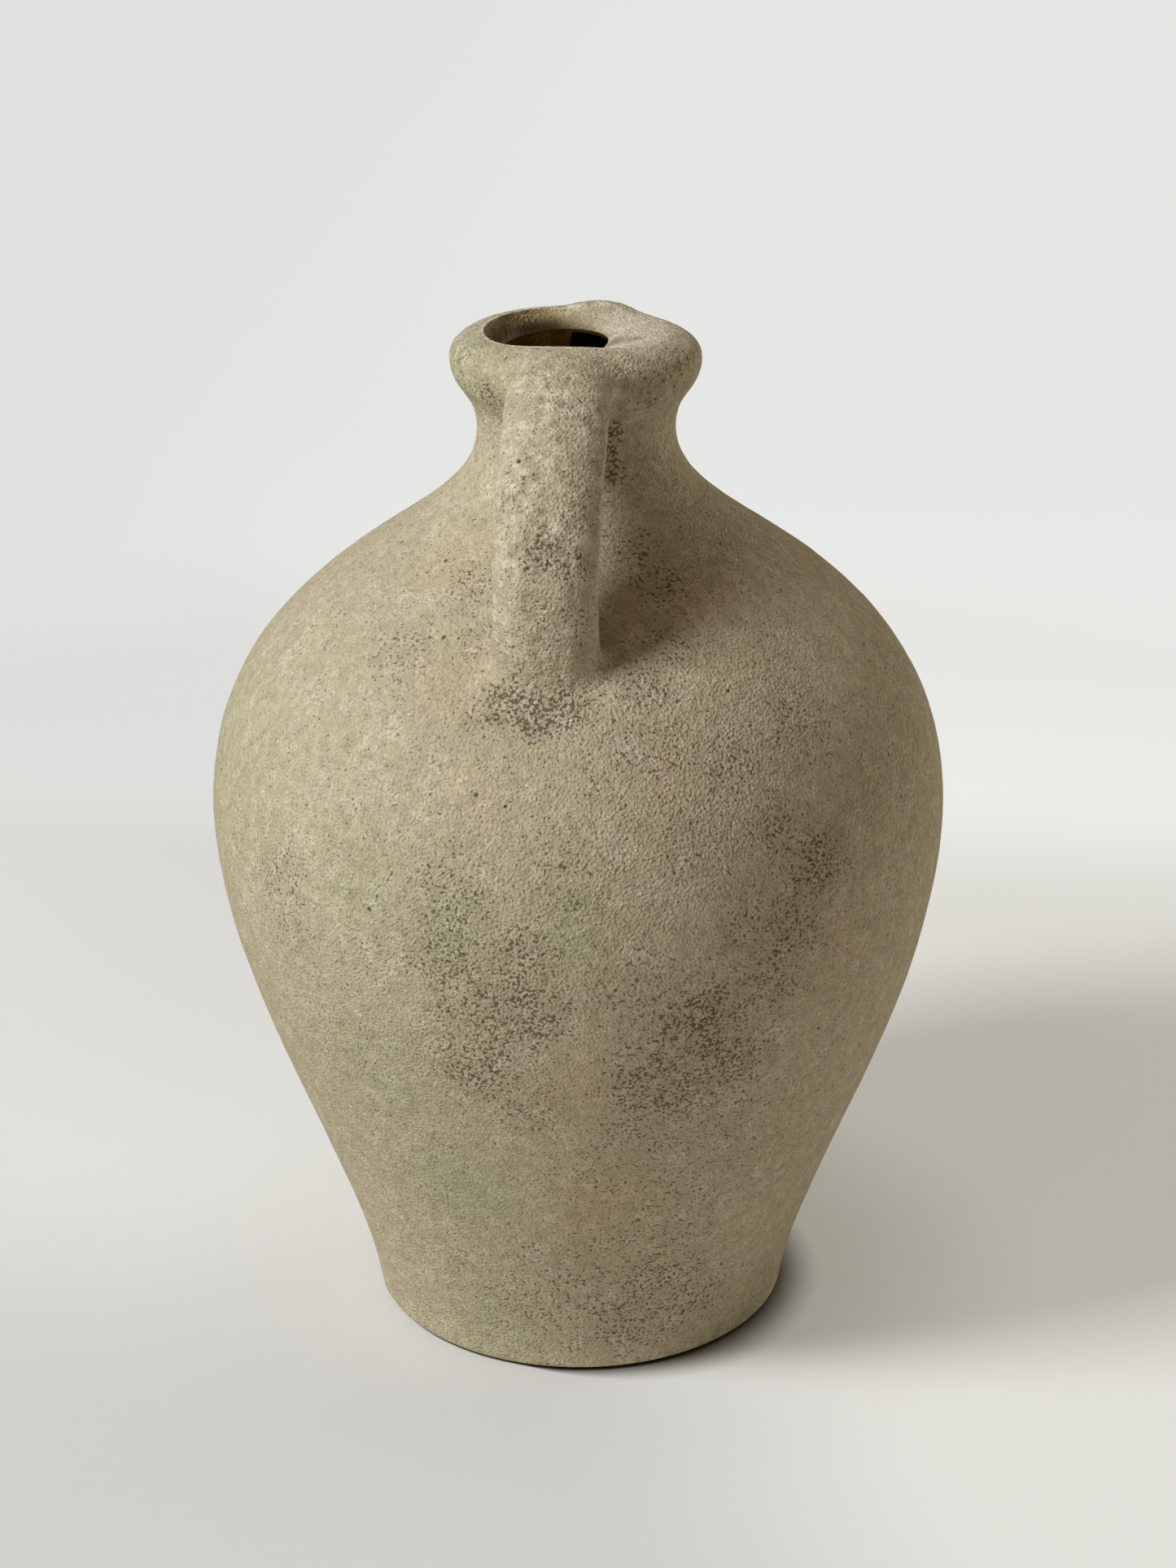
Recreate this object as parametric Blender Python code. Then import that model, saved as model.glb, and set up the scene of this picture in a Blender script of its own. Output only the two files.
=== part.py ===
"""Amphora vase with two strap handles, as the pieces that a potter makes and lutes together.

Metres, +Z up. The origin is the middle of the flat underside, and the front handle points to -Y.
"""
import math

import bmesh
import bpy

# Outer outline, stacked from the table upwards
FOOT_RADIUS = 0.0400
FOOT_ROUNDING = 0.0012
BELLY_RADIUS = 0.0706
BELLY_LEVEL = 0.1056
NECK_RADIUS = 0.0186
SHOULDER_RISE = 0.0743
RIM_RADIUS = 0.0234
RIM_RISE = 0.0136
LIP_RADIUS = 0.0170
LIP_RISE = 0.0047

# Fullness of the outline's curves, each a share of the rise that the curve spans
FOOT_SLOPE = 0.12
FOOT_PULL = 0.27
LOWER_BELLY_PULL = 0.345
UPPER_BELLY_PULL = 0.66
SHOULDER_PULL = 0.30
NECK_PULL = 0.54
RIM_PULL = 0.53
ROUND_PULL = 0.55

# Walls and mouth
WALL = 0.0050
FLOOR = 0.0075
FLOOR_ROUNDING = 0.0040
THROAT_RADIUS = 0.0096
THROAT_DEPTH = 0.0032
THROAT_LENGTH = 0.0030
THROAT_SHIFT = 0.0037

# Seams between the pieces, each a rebated seat with a bed of slip
BASE_HEIGHT = 0.0160
NECK_DROP = 0.0120
COLLAR_RISE = 0.0070
LAP = 0.0024
SLIP_GAP = 0.0003

# Strap handles
STRAP_WIDTH = 0.0192
STRAP_THICKNESS = 0.0062
STRAP_CROWN = 0.0009
HANDLE_INSET = 0.0176
EAR_DROP = 0.0170
ROOT_DROP = 0.0325
SEAT_RISE = 0.0010
SEAT_SPREAD = 0.0008
ROOT_SPREAD = 0.0022
HANDLE_BITE = 0.0060
BACK_HANDLE_SKEW = math.radians(5.9)

# Shape of the strap's run and section, as shares of what each curve spans
SEAT_PULL = 0.48
SEAT_DIP = 0.02
EAR_PULL = 0.52
FALL_PULL = 0.45
ROOT_LEAN = 0.35
ROOT_PULL = 0.25
EDGE_SQUARENESS = 0.55
END_SHARE = 0.25

# Fineness of the round shapes
SEGMENTS = 48
STRAP_SIDES = 16
STRAP_STEPS = 11
LOWER_BODY_STEPS = 8
SHOULDER_STEPS = 9
NECK_STEPS = 6
ROLL_STEPS = 5
CUTTER_STEPS = 12
SHARP_ANGLE = math.radians(35)

# Fired clay under its sandy coat
COAT_COLOUR = (0.400, 0.366, 0.254, 1.0)
BARE_CLAY_COLOUR = (0.300, 0.215, 0.140, 1.0)
COAT_ROUGHNESS = 0.92

# Levels that follow from the stack
NECK_LEVEL = BELLY_LEVEL + SHOULDER_RISE
RIM_LEVEL = NECK_LEVEL + RIM_RISE
LIP_LEVEL = RIM_LEVEL + LIP_RISE
NECK_SEAM = NECK_LEVEL - NECK_DROP
RIM_SEAM = NECK_LEVEL + COLLAR_RISE


def bezier(points, share):
    """Point on a cubic curve."""
    rest = 1.0 - share
    weights = (rest ** 3, 3 * rest ** 2 * share, 3 * rest * share ** 2, share ** 3)
    return tuple(sum(w * p[axis] for w, p in zip(weights, points)) for axis in (0, 1))


def bezier_slope(points, share):
    """Direction of travel on a cubic curve, of length one."""
    rest = 1.0 - share
    weights = (rest ** 2, 2 * rest * share, share ** 2)
    steps = [(b[0] - a[0], b[1] - a[1]) for a, b in zip(points, points[1:])]
    along = [sum(w * s[axis] for w, s in zip(weights, steps)) for axis in (0, 1)]
    length = math.hypot(*along)
    return along[0] / length, along[1] / length


def outline_spans():
    """The outer outline as cubic curves of (radius, level), from the table to the lip."""
    foot_pull = FOOT_PULL * BELLY_LEVEL
    lower = [(FOOT_RADIUS, 0.0), (FOOT_RADIUS + FOOT_SLOPE * foot_pull, foot_pull),
             (BELLY_RADIUS, BELLY_LEVEL * (1.0 - LOWER_BELLY_PULL)), (BELLY_RADIUS, BELLY_LEVEL)]
    upper = [(BELLY_RADIUS, BELLY_LEVEL), (BELLY_RADIUS, BELLY_LEVEL + UPPER_BELLY_PULL * SHOULDER_RISE),
             (NECK_RADIUS, NECK_LEVEL - SHOULDER_PULL * SHOULDER_RISE), (NECK_RADIUS, NECK_LEVEL)]
    collar = [(NECK_RADIUS, NECK_LEVEL), (NECK_RADIUS, NECK_LEVEL + NECK_PULL * RIM_RISE),
              (RIM_RADIUS, RIM_LEVEL - RIM_PULL * RIM_RISE), (RIM_RADIUS, RIM_LEVEL)]
    roll = [(RIM_RADIUS, RIM_LEVEL), (RIM_RADIUS, RIM_LEVEL + ROUND_PULL * LIP_RISE),
            (LIP_RADIUS + ROUND_PULL * (RIM_RADIUS - LIP_RADIUS), LIP_LEVEL), (LIP_RADIUS, LIP_LEVEL)]
    return [lower, upper, collar, roll]


def outline_at(level):
    """Radius of the outer outline at a level, and its normal."""
    spans = outline_spans()
    span = next((s for s in spans if level <= s[-1][1]), spans[-1])
    low, high = 0.0, 1.0
    for _ in range(48):
        middle = (low + high) / 2
        if bezier(span, middle)[1] < level:
            low = middle
        else:
            high = middle
    along = bezier_slope(span, low)
    return bezier(span, low)[0], (along[1], -along[0])


def outer_radius(level):
    return outline_at(level)[0]


def inner_radius(level):
    """Radius of the inside: one wall in from the outline, and a straight bore above the narrowest line."""
    radius, normal = outline_at(min(level, NECK_LEVEL))
    return radius - WALL / normal[0]


def levels_between(first, last, steps):
    return [first + (last - first) * step / steps for step in range(steps + 1)]


def seam_radius(seam):
    """Middle of the wall at a seam, where the rebate's upright face stands."""
    return (outer_radius(seam) + inner_radius(seam)) / 2


def spigot_rings(seam):
    """Top end of a piece: a ledge and an upright inner half that the next piece sits over."""
    upright = seam_radius(seam) - SLIP_GAP / 2
    ledge = seam - SLIP_GAP / 2
    return [(upright, ledge), (upright, ledge + LAP)]


def socket_rings(seam):
    """Bottom end of a piece: the recess that drops over the spigot below it."""
    upright = seam_radius(seam) + SLIP_GAP / 2
    ledge = seam + SLIP_GAP / 2
    return [(upright, ledge + LAP), (upright, ledge)]


def outer_rings(first, last, steps):
    return [(outer_radius(level), level) for level in levels_between(first, last, steps)]


def inner_rings(first, last, steps):
    return [(inner_radius(level), level) for level in levels_between(first, last, steps)]


def principled(name, colour):
    """Dull fired clay of one colour."""
    material = bpy.data.materials.new(name)
    material.use_nodes = True
    shader = material.node_tree.nodes["Principled BSDF"]
    shader.inputs["Base Color"].default_value = colour
    shader.inputs["Roughness"].default_value = COAT_ROUGHNESS
    shader.inputs["Metallic"].default_value = 0.0
    return material


def finish(name, mesh_data, colour):
    """Named object from a bmesh, shaded smooth, with its own material."""
    bmesh.ops.recalc_face_normals(mesh_data, faces=mesh_data.faces)
    mesh = bpy.data.meshes.new(name)
    mesh_data.to_mesh(mesh)
    mesh_data.free()
    mesh.shade_smooth()
    mesh.set_sharp_from_angle(angle=SHARP_ANGLE)
    mesh.materials.append(principled(name + "_clay", colour))
    piece = bpy.data.objects.new(name, mesh)
    bpy.context.scene.collection.objects.link(piece)
    piece.parent = vase
    return piece


def turned(name, rings, closed, colour):
    """Round piece from rings of (radius, level) or (radius, level, shift to -X)."""
    shape = bmesh.new()
    loops = []
    for radius, level, *shift in rings:
        centre = -shift[0] if shift else 0.0
        loop = []
        for step in range(SEGMENTS):
            angle = 2 * math.pi * step / SEGMENTS
            place = (centre + radius * math.cos(angle), radius * math.sin(angle), level)
            loop.append(shape.verts.new(place))
        loops.append(loop)
    pairs = list(zip(loops, loops[1:]))
    if closed:
        pairs.append((loops[-1], loops[0]))
    else:
        shape.faces.new(loops[0])
        shape.faces.new(loops[-1])
    for below, above in pairs:
        for step in range(SEGMENTS):
            after = (step + 1) % SEGMENTS
            shape.faces.new((below[step], below[after], above[after], above[step]))
    return finish(name, shape, colour)


def make_base():
    """Flat foot slab with its floor and the start of the wall."""
    edge_centre = outer_radius(FOOT_ROUNDING) - FOOT_ROUNDING
    rings = [(edge_centre, 0.0)]
    for third in (1, 2):
        angle = third * math.pi / 6
        rings.append((edge_centre + FOOT_ROUNDING * math.sin(angle), FOOT_ROUNDING * (1 - math.cos(angle))))
    rings += outer_rings(FOOT_ROUNDING, BASE_HEIGHT - SLIP_GAP / 2, 3)
    rings += spigot_rings(BASE_HEIGHT)
    rings += inner_rings(BASE_HEIGHT - SLIP_GAP / 2 + LAP, FLOOR + FLOOR_ROUNDING, 2)
    corner = inner_radius(FLOOR + FLOOR_ROUNDING)
    halfway = FLOOR_ROUNDING * (1 - math.sqrt(0.5))
    rings.append((corner - halfway, FLOOR + halfway))
    rings.append((corner - FLOOR_ROUNDING, FLOOR))
    turned("base", rings, False, BARE_CLAY_COLOUR)


def make_wall(name, seam_below, seam_above, steps):
    """Ring of wall between two seams."""
    first = seam_below + SLIP_GAP / 2
    last = seam_above - SLIP_GAP / 2
    rings = outer_rings(first, last, steps)
    rings += spigot_rings(seam_above)
    rings += inner_rings(last + LAP, first + LAP, steps)
    rings += socket_rings(seam_below)
    turned(name, rings, True, COAT_COLOUR)


def make_rim():
    """Rolled lip with a funnel that dips to an off-centre throat."""
    first = RIM_SEAM + SLIP_GAP / 2
    rings = outer_rings(first, RIM_LEVEL, 3)
    roll = outline_spans()[-1]
    rings += [bezier(roll, step / ROLL_STEPS) for step in range(1, ROLL_STEPS + 1)]
    throat_level = LIP_LEVEL - THROAT_DEPTH
    funnel = [(LIP_RADIUS, LIP_LEVEL), (LIP_RADIUS - ROUND_PULL * (LIP_RADIUS - THROAT_RADIUS), LIP_LEVEL),
              (THROAT_RADIUS, throat_level + ROUND_PULL * THROAT_DEPTH), (THROAT_RADIUS, throat_level)]
    for step in range(1, ROLL_STEPS + 1):
        share = step / ROLL_STEPS
        radius, level = bezier(funnel, share)
        rings.append((radius, level, THROAT_SHIFT * share))
    rings.append((THROAT_RADIUS, throat_level - THROAT_LENGTH, THROAT_SHIFT))
    rings.append((inner_radius(first + LAP), first + LAP))
    rings += socket_rings(RIM_SEAM)
    turned("rim", rings, True, COAT_COLOUR)


def make_seat_cutter():
    """Filled vessel, one slip gap larger, that trims the handles' ends to their seats."""
    rings = [(outer_radius(0.0) + SLIP_GAP, -SLIP_GAP)]
    for span in outline_spans():
        for step in range(CUTTER_STEPS + 1):
            share = step / CUTTER_STEPS
            radius, level = bezier(span, share)
            along = bezier_slope(span, share)
            rings.append((radius + SLIP_GAP * along[1], level - SLIP_GAP * along[0]))
    distinct = [rings[0]]
    for ring in rings[1:]:
        if math.dist(ring, distinct[-1]) > SLIP_GAP / 10:
            distinct.append(ring)
    cutter = turned("seat_cutter", distinct, False, COAT_COLOUR)
    cutter.hide_render = True
    cutter.display_type = "WIRE"
    return cutter


def handle_path():
    """Middle line of a strap in (radius, level): out from the rim, round the ear, down to the root."""
    seat = (RIM_RADIUS - HANDLE_BITE, RIM_LEVEL + SEAT_RISE)
    ear = (BELLY_RADIUS - HANDLE_INSET - STRAP_THICKNESS / 2, NECK_LEVEL - EAR_DROP)
    root_level = NECK_LEVEL - ROOT_DROP
    root = (outer_radius(root_level) - HANDLE_BITE, root_level - HANDLE_BITE)
    out = ear[0] - seat[0]
    down = seat[1] - ear[1]
    bend = [seat, (seat[0] + out * SEAT_PULL, seat[1] - down * SEAT_DIP),
            (ear[0], ear[1] + down * EAR_PULL), ear]
    drop = ear[1] - root[1]
    fall = [ear, (ear[0], ear[1] - drop * FALL_PULL),
            (root[0] + (ear[0] - root[0]) * ROOT_LEAN, root[1] + drop * ROOT_PULL), root]
    return [bend, fall]


def strap_section(width, thickness):
    """Outline of the strap across its run: rounded, with a crowned outer face."""
    points = []
    for side in range(STRAP_SIDES):
        angle = 2 * math.pi * (side + 0.5) / STRAP_SIDES
        across = math.copysign(abs(math.cos(angle)) ** EDGE_SQUARENESS, math.cos(angle))
        proud = math.copysign(abs(math.sin(angle)) ** EDGE_SQUARENESS, math.sin(angle))
        crown = STRAP_CROWN * (1 - across ** 2) if proud > 0 else 0.0
        points.append((across * width / 2, proud * thickness / 2 + crown))
    return points


def make_handle(name, turn, cutter):
    """Strap handle swept along its path, spread at both ends and trimmed to the vessel."""
    shape = bmesh.new()
    loops = []
    stations = [(span, step / STRAP_STEPS) for span in handle_path() for step in range(STRAP_STEPS + 1)]
    del stations[STRAP_STEPS]
    for index, (span, share) in enumerate(stations):
        radius, level = bezier(span, share)
        along = bezier_slope(span, share)
        outward = (-along[1], along[0])
        run = index / (len(stations) - 1)
        spread = SEAT_SPREAD * max(0.0, 1 - run / END_SHARE) ** 2
        spread += ROOT_SPREAD * max(0.0, 1 - (1 - run) / END_SHARE) ** 2
        loop = []
        for across, proud in strap_section(STRAP_WIDTH + 2 * spread, STRAP_THICKNESS + spread):
            place = (across, -(radius + proud * outward[0]), level + proud * outward[1])
            loop.append(shape.verts.new(place))
        loops.append(loop)
    for above, below in zip(loops, loops[1:]):
        for side in range(STRAP_SIDES):
            after = (side + 1) % STRAP_SIDES
            shape.faces.new((above[side], above[after], below[after], below[side]))
    shape.faces.new(loops[0])
    shape.faces.new(loops[-1])
    handle = finish(name, shape, COAT_COLOUR)
    handle.rotation_euler.z = turn
    trim = handle.modifiers.new("seat", "BOOLEAN")
    trim.operation = "DIFFERENCE"
    trim.solver = "EXACT"
    trim.object = cutter


for old in list(bpy.data.objects):
    bpy.data.objects.remove(old, do_unlink=True)

vase = bpy.data.objects.new("vase", None)
bpy.context.scene.collection.objects.link(vase)

make_base()
make_wall("lower_body", BASE_HEIGHT, BELLY_LEVEL, LOWER_BODY_STEPS)
make_wall("shoulder", BELLY_LEVEL, NECK_SEAM, SHOULDER_STEPS)
make_wall("neck", NECK_SEAM, RIM_SEAM, NECK_STEPS)
make_rim()
seat_cutter = make_seat_cutter()
make_handle("front_handle", 0.0, seat_cutter)
make_handle("back_handle", math.pi - BACK_HANDLE_SKEW, seat_cutter)
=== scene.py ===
import math

import bpy
import numpy as np
from mathutils import Matrix, Vector


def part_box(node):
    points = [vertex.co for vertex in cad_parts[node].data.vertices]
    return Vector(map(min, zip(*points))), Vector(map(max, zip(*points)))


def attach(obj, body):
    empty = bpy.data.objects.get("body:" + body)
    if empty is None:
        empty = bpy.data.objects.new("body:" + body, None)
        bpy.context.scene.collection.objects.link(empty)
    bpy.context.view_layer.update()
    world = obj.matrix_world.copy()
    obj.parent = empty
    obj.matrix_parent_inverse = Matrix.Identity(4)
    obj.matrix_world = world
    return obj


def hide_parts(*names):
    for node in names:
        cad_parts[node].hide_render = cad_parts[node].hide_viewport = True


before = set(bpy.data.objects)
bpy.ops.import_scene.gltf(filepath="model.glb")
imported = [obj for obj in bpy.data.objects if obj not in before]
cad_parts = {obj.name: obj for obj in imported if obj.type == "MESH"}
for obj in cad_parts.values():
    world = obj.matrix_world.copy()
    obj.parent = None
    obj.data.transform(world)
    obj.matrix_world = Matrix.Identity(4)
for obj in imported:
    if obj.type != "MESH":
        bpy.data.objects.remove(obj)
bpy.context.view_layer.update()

# An amphora vase in its sandy coat, on a pale floor in soft light from the left.
# Metres, +Z up. The front handle points to -Y. Angles run from +X, as seen from above.
MM = 0.001
SEED = 7

# Levels and radii that the frame gives
SLIP_GAP = 0.3 * MM
BASE_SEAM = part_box("lower_body")[0].z - SLIP_GAP / 2
BELLY_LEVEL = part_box("shoulder")[0].z - SLIP_GAP / 2
NECK_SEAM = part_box("neck")[0].z - SLIP_GAP / 2
RIM_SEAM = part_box("rim")[0].z - SLIP_GAP / 2
LIP_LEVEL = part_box("rim")[1].z
BELLY_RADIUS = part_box("lower_body")[1].x
RIM_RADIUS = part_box("rim")[1].x
EAR_REACH = -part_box("front_handle")[0].y

# Outer outline: the rest of its sizes, and how full its curves are
FOOT_RADIUS = 40.5 * MM
FOOT_EDGE_RISE = 1.6 * MM
FOOT_EDGE_INSET = 3.6 * MM
NECK_RADIUS = 18.6 * MM
NECK_LEVEL = RIM_SEAM - 7.0 * MM
LIP_RADIUS = 17.0 * MM
LIP_RISE = 4.7 * MM
RIM_LEVEL = LIP_LEVEL - LIP_RISE
FOOT_SLOPE = 0.12
FOOT_PULL = 0.27
LOWER_BELLY_PULL = 0.345
UPPER_BELLY_PULL = 0.66
SHOULDER_PULL = 0.30
NECK_PULL = 0.56
RIM_PULL = 0.45
ROUND_PULL = 0.55

# Inside: wall, floor, and a funnel that dips to an off-centre throat
WALL = 5.0 * MM
FLOOR = 7.5 * MM
FLOOR_ROUNDING = 4.0 * MM
THROAT_RADIUS = 9.6 * MM
THROAT_DEPTH = 2.85 * MM
THROAT_TILT = 0.8 * MM
THROAT_SHIFT = np.array((-3.7, 1.35)) * MM
THROAT_WALL = 4.5 * MM
# The throat's right half is a blunt oval, drawn with this power
THROAT_POWER = 2.4
THROAT_LEDGE = 0.6 * MM
LEDGE_TURN = math.radians(77.5)
LEDGE_FADE = math.radians(7.0)
# The funnel's two inner control points as shares of its inset and its depth, on the steep and the
# gentle side, and where round the mouth the gentle side lies
STEEP_FUNNEL = np.array([(0.03, 0.30), (0.40, 0.90)])
GENTLE_TURN = math.radians(25.0)
GENTLE_FUNNEL = np.array([(0.55, 0.00), (1.00, 0.45)])
# Cosines between which the funnel turns gentle, and between which the throat tilts down
GENTLE_RANGE = (-0.1, 0.9)
TILT_RANGE = (0.2, -1.0)
# How fast the lip's lift fades down the funnel, and the slope under the throat's lower edge
FUNNEL_LIFT_POWER = 1.5
LEDGE_BEVEL = 0.2 * MM

# How far the hand-thrown lower wall leans to +X
SWAY = 0.5 * MM
SWAY_LEVEL = 65.0 * MM
SWAY_SPREAD = 40.0 * MM

# Where the hand-made lip rises and sags
FRONT_ANGLE = math.radians(-90.0)
BACK_ANGLE = math.radians(84.1)
LOW_SIDE_ANGLE = math.radians(40.0)
FRONT_LIP_LIFT = 1.3 * MM
FRONT_LIFT_SPREAD = math.radians(34.0)
BACK_LIP_LIFT = 1.4 * MM
BACK_LIFT_ANGLE = math.radians(80.0)
BACK_LIFT_SPREAD = math.radians(17.0)
LIP_SAG = 0.8 * MM
LIP_SAG_SPREAD = math.radians(65.0)
LIP_LIFT_START = RIM_SEAM + 1.0 * MM

# Strap handles
STRAP_HALF_THICKNESS = 3.1 * MM
HANDLE_BITE = 6.0 * MM
EAR_LEVEL = NECK_LEVEL - 19.5 * MM
ROOT_LEVEL = NECK_LEVEL - 32.5 * MM
FRONT_SEAT_RISE = 1.9 * MM
BACK_SEAT_RISE = 0.9 * MM
SEAT_PULL = 0.48
SEAT_DIP = 0.02
EAR_PULL = 0.52
FALL_PULL = 0.45
ROOT_LEAN = 0.35
ROOT_PULL = 0.25
ROOT_SPREAD = 2.2 * MM
END_SHARE = 0.25
# Half of the strap's section in millimetres, from the middle of the outer face round to that of the inner
STRAP_SECTION = [(0.0, 3.9), (3.6, 3.6), (6.3, 2.6), (8.4, 0.9),
                 (9.5, -1.0), (8.9, -2.5), (6.5, -3.1), (0.0, -3.1)]
# How far the crowned outer face stands past the half thickness
STRAP_CROWN = 0.8 * MM
SEAT_FILLET = 3.0 * MM
ROOT_FILLET = 2.6 * MM
FILLET_LIMIT = 0.995
# Where along the strap its fillet changes from the seat's to the root's
FILLET_CHANGE = (0.3, 0.7)
# How far under the root the vessel is searched for the place nearest the strap
ROOT_SEARCH = 25.0 * MM

# Fineness of the meshes
SEGMENTS = 576
ROW_STEP = 0.75 * MM
FINE_ROW_STEP = 0.45 * MM
INNER_ROWS = 14
FOOT_INNER_ROWS = 4
UNDERSIDE_SHARES = (0.2, 0.5, 0.8, 0.92, 1.0)
FOOT_EDGE_STEPS = 5
FLOOR_CORNER_STEPS = 4
FUNNEL_ROWS = 30
STRAP_SIDES = 128
STRAP_ROWS = 100
END_ROWS = 120
END_STRETCH = 20.0 * MM
PATH_STEPS = 600
CURVE_STEPS = 400
SECTION_STEPS = 40
SHARP_ANGLE = math.radians(50.0)
# Least length of a normal that is divided by
TINY = 1e-12

# Relief of the coat: the size of each layer's lumps, and their height
RELIEF_LAYERS = [(46.0 * MM, 0.30 * MM), (14.0 * MM, 0.10 * MM),
                 (5.0 * MM, 0.035 * MM), (2.0 * MM, 0.045 * MM)]
CRUST_LAYERS = [(6.0 * MM, 0.14 * MM), (2.2 * MM, 0.11 * MM), (1.2 * MM, 0.05 * MM)]
LUMP_DRAWS = 256
LUMP_GAIN = 1.6


def bezier(points, shares):
    """Points on a cubic curve."""
    points = np.array(points)
    t = np.asarray(shares)[:, None]
    rest = 1.0 - t
    return (rest ** 3 * points[0] + 3 * rest ** 2 * t * points[1]
            + 3 * rest * t ** 2 * points[2] + t ** 3 * points[3])


def smooth(low, high, value):
    """Soft step from nought to one."""
    t = np.clip((value - low) / (high - low), 0.0, 1.0)
    return t * t * (3.0 - 2.0 * t)


def turn_between(angle, other):
    """Signed turn from one angle to another, by the short way round."""
    return (angle - other + math.pi) % (2 * math.pi) - math.pi


def swell(angle, middle, spread):
    """Smooth bump round the axis, of height one."""
    return np.exp(-(turn_between(angle, middle) / spread) ** 2)


class Outline:
    """The vessel's outer outline as a fine run of (radius, level), measured along its length."""

    def __init__(self):
        foot_pull = FOOT_PULL * BELLY_LEVEL
        shoulder_rise = NECK_LEVEL - BELLY_LEVEL
        rim_rise = RIM_LEVEL - NECK_LEVEL
        lower = [(FOOT_RADIUS, 0.0), (FOOT_RADIUS + FOOT_SLOPE * foot_pull, foot_pull),
                 (BELLY_RADIUS, BELLY_LEVEL * (1.0 - LOWER_BELLY_PULL)), (BELLY_RADIUS, BELLY_LEVEL)]
        upper = [(BELLY_RADIUS, BELLY_LEVEL),
                 (BELLY_RADIUS, BELLY_LEVEL + UPPER_BELLY_PULL * shoulder_rise),
                 (NECK_RADIUS, NECK_LEVEL - SHOULDER_PULL * shoulder_rise), (NECK_RADIUS, NECK_LEVEL)]
        collar = [(NECK_RADIUS, NECK_LEVEL), (NECK_RADIUS, NECK_LEVEL + NECK_PULL * rim_rise),
                  (RIM_RADIUS, RIM_LEVEL - RIM_PULL * rim_rise), (RIM_RADIUS, RIM_LEVEL)]
        roll = [(RIM_RADIUS, RIM_LEVEL), (RIM_RADIUS, RIM_LEVEL + ROUND_PULL * LIP_RISE),
                (LIP_RADIUS + ROUND_PULL * (RIM_RADIUS - LIP_RADIUS), LIP_LEVEL), (LIP_RADIUS, LIP_LEVEL)]
        shares = np.linspace(0.0, 1.0, CURVE_STEPS)
        spans = [bezier(span, shares) for span in (lower, upper, collar, roll)]
        run = np.concatenate([spans[0]] + [span[1:] for span in spans[1:]])
        steps = np.hypot(*np.diff(run, axis=0).T)
        self.radius, self.level = run.T
        self.length = np.concatenate([[0.0], np.cumsum(steps)])
        slope = np.gradient(run, self.length, axis=0)
        slope /= np.hypot(*slope.T)[:, None]
        self.normal_out, self.normal_up = slope[:, 1], -slope[:, 0]

    def at(self, length):
        """Radius, level and outward normal at a length along the outline."""
        values = (self.radius, self.level, self.normal_out, self.normal_up)
        return [np.interp(length, self.length, value) for value in values]

    def length_at(self, level):
        return np.interp(level, self.level, self.length)

    def radius_at(self, level):
        return np.interp(level, self.level, self.radius, right=0.0)

    def inner_radius(self, level):
        """One wall in from the outline, and a straight bore above the narrowest line."""
        radius, _, normal_out, _ = self.at(self.length_at(np.minimum(level, NECK_LEVEL)))
        return radius - WALL / normal_out


outline = Outline()


def lip_lift(angle):
    """How far the lip's crest stands above its even level."""
    front = FRONT_LIP_LIFT * swell(angle, FRONT_ANGLE, FRONT_LIFT_SPREAD)
    back = BACK_LIP_LIFT * swell(angle, BACK_LIFT_ANGLE, BACK_LIFT_SPREAD)
    return front + back - LIP_SAG * swell(angle, LOW_SIDE_ANGLE, LIP_SAG_SPREAD)


def lift_share(level):
    """How much of the lip's lift the outline follows at a level."""
    return smooth(LIP_LIFT_START, LIP_LEVEL, level)


class Lumps:
    """Smooth lumps through space, the same on every run."""

    def __init__(self, seed):
        draw = np.random.default_rng(seed)
        self.order = np.concatenate([draw.permutation(LUMP_DRAWS)] * 2)
        self.slopes = draw.normal(size=(LUMP_DRAWS, 3))
        self.slopes /= np.linalg.norm(self.slopes, axis=1)[:, None]

    def at(self, places, size):
        """Height from about -1 to 1 at each place, for lumps of one size."""
        scaled = places / size
        corner = np.floor(scaled).astype(int)
        inside = scaled - corner
        ease = inside ** 3 * (inside * (inside * 6.0 - 15.0) + 10.0)
        total = np.zeros(places.shape[:-1])
        for x in (0, 1):
            for y in (0, 1):
                for z in (0, 1):
                    step = np.array((x, y, z))
                    cell = (corner + step) % LUMP_DRAWS
                    pick = self.order[self.order[self.order[cell[..., 0]] + cell[..., 1]] + cell[..., 2]]
                    weight = np.prod(np.where(step == 1, ease, 1.0 - ease), axis=-1)
                    total += weight * np.sum(self.slopes[pick] * (inside - step), axis=-1)
        return LUMP_GAIN * total


lumps = Lumps(SEED)


def relief(places, layers=RELIEF_LAYERS):
    """Height of the coat's lumps at places on the even form."""
    height = np.zeros(places.shape[:-1])
    for size, rise in layers:
        height += rise * lumps.at(places, size)
    return height


def vessel_skin(length, angle):
    """Places on the vessel's outer face, and its normals there."""
    radius, level, normal_out, normal_up = outline.at(length)
    sway = SWAY * np.exp(-((level - SWAY_LEVEL) / SWAY_SPREAD) ** 2)
    level = level + lip_lift(angle) * lift_share(level)
    place = np.stack([radius * np.cos(angle) + sway, radius * np.sin(angle), level], axis=-1)
    normal = np.stack([normal_out * np.cos(angle), normal_out * np.sin(angle), normal_up], axis=-1)
    return place, normal


def coated(place, normal, layers=RELIEF_LAYERS):
    """Places moved out by the coat's relief."""
    return place + normal * relief(place, layers)[..., None]


ANGLES = np.linspace(0.0, 2 * math.pi, SEGMENTS, endpoint=False)


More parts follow.
